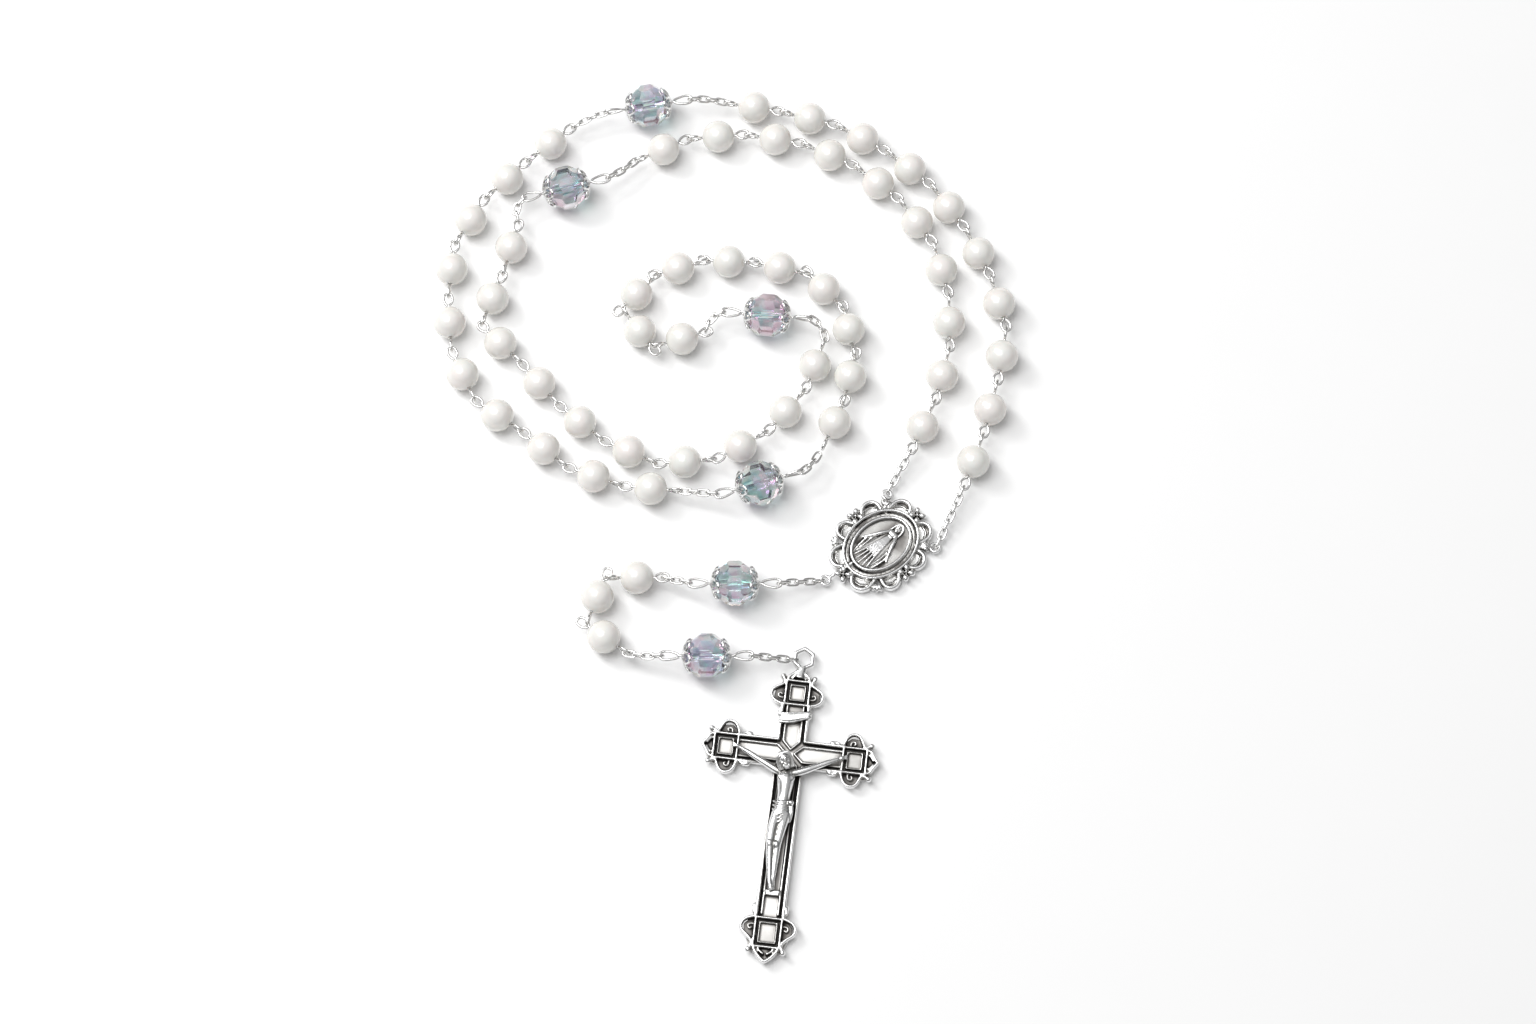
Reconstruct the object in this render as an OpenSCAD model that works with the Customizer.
// Five-decade rosary laid on a table: pearls and crystals on wire eye pins, link chain,
// centre medal and crucifix. Millimetres, +Z up, origin at the middle of the medal's back.

/* [Pearls] */
// Diameter of a pearl
pearl_d = 6; // [4.8:0.1:7.4]
// How far the link point of a pearl's eye stands off the pearl
pearl_eye_reach = 2.4; // [2.2:0.1:3.2]
// Bore through a pearl
pearl_bore = 0.8; // [0.7:0.05:1.4]

/* [Crystals] */
// Diameter of a crystal bead
crystal_d = 8; // [6.6:0.1:9.8]
// Bore through a crystal and its caps
crystal_bore = 0.9; // [0.7:0.05:1.4]
// Wall of a filigree bead cap
cap_wall = 0.4; // [0.3:0.05:0.6]
// Half angle of the crystal that a cap covers
cap_angle = 46; // [35:1:55]
// How far the link point of a crystal's eye stands off the crystal
crystal_eye_reach = 4; // [3.6:0.1:4.8]

/* [Wire and chain] */
// Diameter of the eye pin wire
pin_wire = 0.5; // [0.4:0.02:0.6]
// Half width of the open middle of an eye
eye_open = 0.55; // [0.5:0.02:0.8]
// Diameter of the chain link wire
link_wire = 0.45; // [0.36:0.01:0.54]
// Distance from joint to joint along one chain link
link_pitch = 1.7; // [1.5:0.05:2.1]
// Half width of the open middle of a chain link
link_open = 0.375; // [0.36:0.01:0.5]
// Gap between two wires where they pass through each other
wire_play = 0.07; // [0.05:0.01:0.12]

/* [Centre medal] */
// Long axis of the medal's oval
medal_l = 15; // [12.5:0.1:18]
// Short axis of the medal's oval
medal_w = 12; // [10:0.1:14.4]
// Thickness of the medal at its rim
medal_t = 2.2; // [1.8:0.1:2.8]
// Width of the openwork scroll border around the oval
scroll_w = 2.6; // [2.2:0.1:3.2]
// Heading of the figure's head on the medal
medal_heading = 40; // [30:5:50]

/* [Crucifix] */
// Length from the top of the loop to the foot of the shaft
cross_l = 57; // [48:1:68]
// Span of the arms
cross_w = 32; // [27:1:38]
// Heading of the shaft from the loop to its foot
crucifix_heading = 263; // [250:1:270]
// Distance from the loop down to the crossing of the arms
crossing_drop = 18.5; // [16:0.5:22]
// Width of the shaft and of the arms
bar_w = 5; // [4.4:0.1:6]
// Thickness of the cross plate without its ribs
cross_plate = 1.5; // [1.2:0.1:2]
// Height of the raised ribs over the plate
rib_h = 0.7; // [0.5:0.1:1]
// Width of the raised ribs
rib_w = 0.7; // [0.5:0.05:0.9]
// Diameter of the rim wire of the medal and crucifix loops
loop_wire = 0.6; // [0.5:0.01:0.62]

/* [Hidden] */
$fn = 48;
RINGS_FLAT = 0;
RINGS_UPRIGHT = 90;

pearl_z = pearl_d / 2;
crystal_z = crystal_d / 2;
medal_loop_z = medal_t / 2;
cross_loop_z = 1.3;
// Middle of the crucifix loop's rim wire from its centre
bail_r = 1.3;
pearl_pitch = pearl_d + 2 * pearl_eye_reach;
crystal_pitch = crystal_d + 2 * crystal_eye_reach;
pin_reach = pin_wire / 2 + wire_play;
link_reach = link_wire / 2 + wire_play;
loop_reach = loop_wire / 2 + wire_play;
cap_gap = 0.05;
// Play that the two tight bends of the strand take up at each pearl
slack = 1.2;
// How far the two rings of the open pivot stand apart, tip to tip
open_gap = 0.35;

loop_standoff = medal_w / 2 + scroll_w + 1.7;
foot_standoff = medal_l / 2 + scroll_w + 2.5;
function loop_point(heading, standoff = loop_standoff) =
    [standoff * cos(heading), standoff * sin(heading), medal_loop_z];

// ---- The lay: every unit of the strand is a straight step with a heading ----
// unit = [section, heading, slope, length, reach of its end wires, tilt at start, tilt at end]
UNIT_NAME = 0;
UNIT_HEADING = 1;
UNIT_SLOPE = 2;
UNIT_LENGTH = 3;
UNIT_REACH = 4;
UNIT_TILT_START = 5;
UNIT_TILT_END = 6;

function chain_units(name, count, first, turn, z_start, z_end, tilt) =
    [for (i = [0:count - 1]) [name, first + turn * i, asin((z_end - z_start) / (count * link_pitch)),
        link_pitch, link_reach, (tilt + 90 * i) % 180, (tilt + 90 * i) % 180]];
function pearl_units(name, headings, slack = 0) =
    [for (h = headings) [name, h, 0, pearl_pitch - slack, pin_reach + slack / 2, RINGS_FLAT, RINGS_UPRIGHT]];
function crystal_unit(name, heading, tilt_start, tilt_end) =
    [[name, heading, 0, crystal_pitch, pin_reach, tilt_start, tilt_end]];
function loop_unit(heading) = [["loop", heading, 0, 0, loop_reach, RINGS_FLAT, RINGS_FLAT]];

// From the medal's upper left loop around the inner strand to the last pearl of decade 3
left_lay = concat(
    loop_unit(medal_heading + 43),
    chain_units("chain_medal_decade1", 5, 60, 0, medal_loop_z, pearl_z, RINGS_UPRIGHT),
    pearl_units("decade_1a", [65, 75, 90, 105, 125]),
    pearl_units("decade_1b", [140, 155, 170, 185, 205]),
    chain_units("chain_decade1_crystal1", 4, 225, -5, pearl_z, crystal_z, RINGS_FLAT),
    crystal_unit("crystal_1", 195, RINGS_FLAT, RINGS_FLAT),
    chain_units("chain_crystal1_decade2", 3, 225, 30, crystal_z, pearl_z, RINGS_UPRIGHT),
    pearl_units("decade_2a", [255, 250, 315, 310, 320]),
    pearl_units("decade_2b", [335, 365, 390, 410, 430]),
    chain_units("chain_decade2_crystal2", 3, 465, 20, pearl_z, crystal_z, RINGS_FLAT),
    crystal_unit("crystal_2", 535, RINGS_UPRIGHT, RINGS_FLAT),
    chain_units("chain_crystal2_decade3", 3, 560, 25, crystal_z, pearl_z, RINGS_UPRIGHT),
    pearl_units("decade_3a", [555, 485, 405, 375, 355], slack),
    pearl_units("decade_3b", [345, 310, 280, 255, 245], slack));

// From the medal's upper right loop around the outer strand to the chain beyond crystal 3
right_lay = concat(
    loop_unit(medal_heading - 43),
    chain_units("chain_decade5_medal", 7, 65, 0, medal_loop_z, pearl_z, RINGS_UPRIGHT),
    pearl_units("decade_5b", [70, 75, 80, 105, 115]),
    pearl_units("decade_5a", [125, 140, 150, 165, 170]),
    chain_units("chain_crystal4_decade5", 4, 170, 5, pearl_z, crystal_z, RINGS_FLAT),
    crystal_unit("crystal_4", 190, RINGS_FLAT, RINGS_UPRIGHT),
    chain_units("chain_decade4_crystal4", 4, 195, 5, crystal_z, pearl_z, RINGS_FLAT),
    pearl_units("decade_4b", [220, 225, 240, 265, 275]),
    pearl_units("decade_4a", [295, 325, 320, 340, 355]),
    chain_units("chain_crystal3_decade4", 4, 355, 0, pearl_z, crystal_z, RINGS_FLAT),
    crystal_unit("crystal_3", 380, RINGS_FLAT, RINGS_UPRIGHT),
    chain_units("chain_decade3_crystal3", 3, 405, 10, crystal_z, pearl_z, RINGS_FLAT));

// From the medal's foot loop to the crucifix
tail_lay = concat(
    loop_unit(medal_heading + 174),
    chain_units("chain_medal_crystal5", 5, 190, 0, medal_loop_z, crystal_z, RINGS_UPRIGHT),
    crystal_unit("crystal_5", 180, RINGS_FLAT, RINGS_FLAT),
    chain_units("chain_crystal5_tail", 3, 165, 0, crystal_z, pearl_z, RINGS_UPRIGHT),
    pearl_units("tail_pearl_1", [180], slack),
    pearl_units("tail_pearls_2_3", [250, 325], slack),
    chain_units("chain_tail_crystal6", 4, 345, 5, pearl_z, crystal_z, RINGS_FLAT),
    crystal_unit("crystal_6", 360, RINGS_FLAT, RINGS_FLAT),
    chain_units("chain_crystal6_crucifix", 5, 360, 0, crystal_z, cross_loop_z, RINGS_UPRIGHT),
    [["crucifix", 360, 0, 0, loop_reach, RINGS_FLAT, RINGS_FLAT]]);

// A step's direction on the table, and in space
function ahead(unit) = [cos(unit[UNIT_HEADING]), sin(unit[UNIT_HEADING]), 0];
function step(unit) = unit[UNIT_LENGTH] * [cos(unit[UNIT_SLOPE]) * cos(unit[UNIT_HEADING]),
    cos(unit[UNIT_SLOPE]) * sin(unit[UNIT_HEADING]), sin(unit[UNIT_SLOPE])];
// A unit turns level about the upright one of the two wires that meet at its start
function next_start(before, unit, start) = start + step(before)
    + (before[UNIT_TILT_END] == RINGS_UPRIGHT
        ? before[UNIT_REACH] * (ahead(before) - ahead(unit))
        : unit[UNIT_REACH] * (ahead(unit) - ahead(before)));
function starts(units, start, i = 0) = i == len(units) ? [] : concat([start],
    i + 1 == len(units) ? [] : starts(units, next_start(units[i], units[i + 1], start), i + 1));
function last_end(units, points) = points[len(units) - 1] + step(units[len(units) - 1]);
function first_of(units, name) = [for (i = [0:len(units) - 1]) if (units[i][UNIT_NAME] == name) i][0];
function turned(units, name, angle) = [for (i = [0:len(units) - 1]) i < first_of(units, name) ? units[i]
    : [for (k = [0:len(units[i]) - 1]) k == UNIT_HEADING ? units[i][k] + angle : units[i][k]]];
// The upright wire that a section turns about
function turning_point(units, points, name) = let (i = first_of(units, name)) points[i]
    + (units[i - 1][UNIT_TILT_END] == RINGS_UPRIGHT ? units[i - 1][UNIT_REACH] : -units[i][UNIT_REACH])
    * ahead(units[i]);
function bearing(v) = atan2(v[1], v[0]);
function flat_norm(v) = norm([v[0], v[1]]);

// The inner fold closes as a two-arm linkage: decade 3 swings about its first eye and
// crystal 3 with its chains swings about decade 4, until their ends meet
left_free = starts(left_lay, loop_point(medal_heading + 43));
right_free = starts(right_lay, loop_point(medal_heading - 43));
left_elbow = turning_point(left_lay, left_free, "decade_3a");
right_elbow = turning_point(right_lay, right_free, "chain_crystal3_decade4");
parting = open_gap + pin_reach + slack / 2 + pin_wire / 2 + link_reach + link_wire / 2;
left_arm = last_end(left_lay, left_free) - left_elbow;
right_arm = last_end(right_lay, right_free) + parting * ahead(right_lay[len(right_lay) - 1]) - right_elbow;
elbows = right_elbow - left_elbow;
corner = acos((pow(flat_norm(left_arm), 2) + pow(flat_norm(elbows), 2) - pow(flat_norm(right_arm), 2))
    / (2 * flat_norm(left_arm) * flat_norm(elbows)));
meeting = left_elbow + flat_norm(left_arm) * [cos(bearing(elbows) + corner), sin(bearing(elbows) + corner), 0];
left_units = turned(left_lay, "decade_3a", bearing(meeting - left_elbow) - bearing(left_arm));
right_units = turned(right_lay, "chain_crystal3_decade4", bearing(meeting - right_elbow) - bearing(right_arm));

left_starts = starts(left_units, loop_point(medal_heading + 43));
right_starts = starts(right_units, loop_point(medal_heading - 43));
tail_starts = starts(tail_lay, loop_point(medal_heading + 174, foot_standoff));
all_units = concat(left_units, right_units, tail_lay);
all_starts = concat(left_starts, right_starts, tail_starts);

PEARL_SECTIONS = ["decade_1a", "decade_1b", "decade_2a", "decade_2b", "decade_3a", "decade_3b",
    "decade_4a", "decade_4b", "decade_5a", "decade_5b", "tail_pearl_1", "tail_pearls_2_3"];
CRYSTALS = [for (i = [1:6]) str("crystal_", i)];
CHAINS = ["chain_medal_decade1", "chain_decade1_crystal1", "chain_crystal1_decade2",
    "chain_decade2_crystal2", "chain_crystal2_decade3", "chain_decade3_crystal3",
    "chain_crystal3_decade4", "chain_decade4_crystal4", "chain_crystal4_decade5",
    "chain_decade5_medal", "chain_medal_crystal5", "chain_crystal5_tail",
    "chain_tail_crystal6", "chain_crystal6_crucifix"];

// Places children on every unit of a section, with +X ahead and the origin at its middle
module on_units(section) {
    for (i = [0:len(all_units) - 1])
        if (all_units[i][UNIT_NAME] == section) {
            $unit = all_units[i];
            translate(all_starts[i] + step($unit) / 2)
                rotate([0, -$unit[UNIT_SLOPE], $unit[UNIT_HEADING]]) children();
        }
}

// ---- Wire ----
// Oval ring in the XY plane, its two end wires' middles at x = far and x = near
module oval_ring(far, near, end_r, wire) {
    for (end = [[far - end_r, 0], [near + end_r, 180]])
        translate([end[0], 0, 0]) rotate([0, 0, end[1] - 90])
            rotate_extrude(angle = 180) translate([end_r, 0]) circle(d = wire);
    for (side = [-1, 1])
        translate([near + end_r, side * end_r, 0]) rotate([0, 90, 0])
            cylinder(d = wire, h = far - near - 2 * end_r);
}

// Wire through a bead with an eye at each end, tilted about the wire
module eye_pin(core_d, far, near_gap, tilt_start, tilt_end) {
    near = core_d / 2 + near_gap + pin_wire / 2;
    for (end = [[0, tilt_end], [180, tilt_start]])
        rotate([0, 0, end[0]]) rotate([end[1], 0, 0])
            oval_ring(far, near, eye_open + pin_wire / 2, pin_wire);
    translate([-near, 0, 0]) rotate([0, 90, 0]) cylinder(d = pin_wire, h = 2 * near);
}

module chain(section) {
    color("silver") on_units(section)
        rotate([$unit[UNIT_TILT_START], 0, 0])
            oval_ring(link_pitch / 2 + link_reach, -link_pitch / 2 - link_reach,
                link_open + link_wire / 2, link_wire);
}

// ---- Beads ----
module bored_ball(ball_d, bore) {
    rotate([0, 90, 0]) rotate_extrude() intersection() {
        circle(d = ball_d);
        translate([bore / 2, -ball_d / 2]) square(ball_d);
    }
}

module pearls(section) {
    color("ivory") on_units(section) bored_ball(pearl_d, pearl_bore);
}

module pearl_pins(section) {
    color("silver") on_units(section)
        eye_pin(pearl_d, pearl_pitch / 2 + pin_reach, 0.01, $unit[UNIT_TILT_START], $unit[UNIT_TILT_END]);
}

module crystal(section) {
    color("lavender") on_units(section) bored_ball(crystal_d, crystal_bore);
}

// Two openwork cups on the ends of a crystal
module crystal_caps(section) {
    inner = crystal_d / 2 + cap_gap;
    outer = inner + cap_wall;
    rim = outer * sin(cap_angle);
    color("gainsboro") on_units(section)
        for (side = [0, 180]) rotate([0, 0, side]) difference() {
            rotate([0, 90, 0]) rotate_extrude() intersection() {
                difference() {
                    circle(r = outer);
                    circle(r = inner);
                }
                translate([0, outer * cos(cap_angle)]) square([outer, outer]);
            }
            rotate([0, 90, 0]) cylinder(d = crystal_bore, h = 2 * outer);
            for (a = [0:60:300]) rotate([a, 0, 0]) translate([0, 0.62 * rim, 0])
                rotate([0, 90, 0]) cylinder(d = 0.3 * rim, h = 2 * outer);
        }
}

module crystal_pin(section) {
    color("silver") on_units(section)
        eye_pin(crystal_d, crystal_pitch / 2 + pin_reach, cap_wall + cap_gap + 0.1,
            $unit[UNIT_TILT_START], $unit[UNIT_TILT_END]);
}

// ---- Centre medal, figure's head towards +Y before it is turned ----
module oval(length, width) {
    polygon([for (a = [0:7.5:352.5]) [width / 2 * cos(a), length / 2 * sin(a)]]);
}

// A loop cast on the rim: a tongue with a round wire ring at its end
module cast_loop(heading, standoff) {
    ring_r = eye_open + loop_wire / 2;
    rotate([0, 0, heading]) translate([0, 0, medal_loop_z]) {
        translate([standoff + loop_reach - ring_r, 0, 0])
            rotate_extrude() translate([ring_r, 0]) circle(d = loop_wire);
        translate([medal_w / 2 - 0.8, -0.45, -loop_wire / 2])
            cube([standoff + loop_reach - 2 * ring_r - medal_w / 2 + 0.8, 0.9, loop_wire]);
    }
}

// Four round petals
module flower(radius, height) {
    for (a = [45:90:315])
        rotate([0, 0, a]) translate([0.5 * radius, 0, 0]) cylinder(r = 0.46 * radius, h = height);
    cylinder(r = 0.4 * radius, h = height + 0.1);
}

module centre_medal() {
    rim_w = 1.9;
    recess_l = medal_l - 2 * rim_w;
    recess_w = medal_w - 2 * rim_w;
    color("silver") rotate([0, 0, medal_heading - 90]) {
        difference() {
            linear_extrude(medal_t) oval(medal_l, medal_w);
            translate([0, 0, 0.45 * medal_t]) linear_extrude(medal_t) oval(recess_l, recess_w);
        }
        // Robed figure in low relief
        translate([0, 0, 0.4 * medal_t]) {
            linear_extrude(0.35 * medal_t) polygon([[-0.3 * recess_w, -0.44 * recess_l],
                [0.3 * recess_w, -0.44 * recess_l], [0.2 * recess_w, 0.2 * recess_l],
                [0, 0.34 * recess_l], [-0.2 * recess_w, 0.2 * recess_l]]);
            translate([0, 0.34 * recess_l, 0.2 * medal_t]) sphere(r = 0.1 * recess_l);
        }
        // Scroll border
        linear_extrude(0.75 * medal_t) difference() {
            scroll_places() circle(r = scroll_w * 0.75);
            scroll_places() circle(r = scroll_w * 0.42);
            oval(medal_l - 1, medal_w - 1);
        }
        for (a = [0, 180]) rotate([0, 0, a]) {
            translate([0, medal_l / 2 + 0.35 * scroll_w, 0]) flower(0.58 * scroll_w, 0.9 * medal_t);
            translate([medal_w / 2 + 0.3 * scroll_w, 0, 0]) flower(0.58 * scroll_w, 0.9 * medal_t);
        }
        for (side = [-1, 1]) cast_loop(90 + side * 43, loop_standoff);
        cast_loop(90 + 174, foot_standoff);
    }
}

// Eight scrolls around the oval, between the flowers and the loops
module scroll_places() {
    for (a = [22.5:45:337.5])
        translate([(medal_w + scroll_w) / 2 * cos(a), (medal_l + scroll_w) / 2 * sin(a)]) children();
}

// ---- Crucifix, hooked by the side of its loop, its shaft running along -Y ----
module on_crucifix(z) {
    on_units("crucifix") translate([bail_r - loop_reach, 0, z])
        rotate([0, 0, crucifix_heading + 90 - $unit[UNIT_HEADING]]) translate([0, bail_r - loop_reach, 0]) children();
}

// Flared end of a bar: a square panel between scrolls, with a pointed tip towards +X
module finial_outline() {
    half = bar_w / 2;
    translate([-1.2 * half, -half]) square([2.2 * half, bar_w]);
    for (side = [-1, 1]) {
        translate([-0.1 * half, side * 1.3 * half]) circle(r = 0.62 * half);
        translate([-1.1 * half, side * 1.15 * half]) circle(r = 0.38 * half);
        translate([0.9 * half, side * half]) circle(r = 0.3 * half);
    }
    polygon([[0.9 * half, -1.1 * half], [1.4 * half, -0.55 * half], [1.8 * half, 0],
        [1.4 * half, 0.55 * half], [0.9 * half, 1.1 * half]]);
}

module finials() {
    tip = 1.8 * bar_w / 2;
    translate([cross_w / 2 - tip, -crossing_drop]) finial_outline();
    translate([tip - cross_w / 2, -crossing_drop]) rotate(180) finial_outline();
    translate([0, tip - cross_l]) rotate(-90) finial_outline();
    translate([0, -2.1 - tip]) rotate(90) finial_outline();
}

module cross_outline() {
    translate([-bar_w / 2, 5 - cross_l]) square([bar_w, cross_l - 10]);
    translate([4 - cross_w / 2, -crossing_drop - bar_w / 2]) square([cross_w - 8, bar_w]);
    finials();
}

// Sunk panels between the ribs
module cross_panels() {
    inner = bar_w - 2 * rib_w;
    half = inner / 2;
    arm = cross_w / 2 - 1.8 * bar_w;
    foot = cross_l - crossing_drop - 2 * bar_w - half;
    // Long panels that point at the crossing
    translate([0, -crossing_drop]) for (bar = [[0, arm], [180, arm], [270, foot], [90, arm - half]])
        rotate(bar[0]) polygon([[rib_w, 0], [rib_w + half, half], [bar[1], half],
            [bar[1], -half], [rib_w + half, -half]]);
    // Square panels in the four ends
    for (place = [[cross_w / 2 - 1.05 * bar_w, -crossing_drop], [1.05 * bar_w - cross_w / 2, -crossing_drop],
        [0, 1.05 * bar_w - cross_l], [0, -2.1 - 1.05 * bar_w]])
        translate(place) square(inner * 0.8, center = true);
}

module crucifix() {
    color("silver") on_crucifix(0) {
        translate([0, 0, -cross_loop_z]) {
            linear_extrude(cross_plate) cross_outline();
            linear_extrude(cross_plate + rib_h) difference() {
                cross_outline();
                cross_panels();
            }
        }
        translate([0, loop_reach - bail_r, 0]) rotate_extrude() translate([bail_r, 0]) circle(d = loop_wire);
        translate([-0.5, -2.1 - 2 * rib_w, -cross_loop_z]) cube([1, 2 * rib_w, cross_loop_z + loop_wire / 2]);
    }
}

// A round limb between two points, domed at both ends
module limb(from, to, r) {
    along = to - from;
    translate(from) rotate([0, acos(along[2] / norm(along)), bearing(along)]) rotate_extrude()
        polygon([[0, -0.7 * r], [0.7 * r, -0.45 * r], [r, 0], [r, norm(along)],
            [0.7 * r, norm(along) + 0.45 * r], [0, norm(along) + 0.7 * r]]);
}

// Figure soldered flat on the ribs, the head bowed to one side of the crossing
module corpus() {
    reach = cross_w / 2 - 1.3 * bar_w;
    color("silver") on_crucifix(cross_plate + rib_h - cross_loop_z) translate([0, -crossing_drop, 0])
        difference() {
            union() {
                linear_extrude(1) polygon([[-1, -1.9], [-1.2, -3.1], [-1.9, -4.2], [-1.5, -6.5], [-1.15, -8.6],
                    [-1.75, -10.4], [-1.8, -12.4], [-1.3, -17.5], [-0.9, -23.4], [-1.1, -24.6], [0.9, -24.6],
                    [0.8, -23.4], [1, -17.5], [1.7, -12.4], [1.65, -10.4], [1.15, -8.6], [1.5, -6.5],
                    [1.9, -4.2], [1.2, -3.1], [0.6, -2.4]]);
                translate([-0.4, -2.3, 0.5]) sphere(r = 1.3);
                for (side = [-1, 1]) limb([side * 1.4, -3.9, 0.45], [side * reach, 0, 0.35], 0.55);
            }
            translate([-cross_w / 2, -crossing_drop - cross_l, -3]) cube([cross_w, 2 * cross_l, 3]);
        }
}

centre_medal();
crucifix();
corpus();
for (s = PEARL_SECTIONS) {
    pearls(s);
    pearl_pins(s);
}
for (c = CRYSTALS) {
    crystal(c);
    crystal_caps(c);
    crystal_pin(c);
}
for (c = CHAINS)
    chain(c);
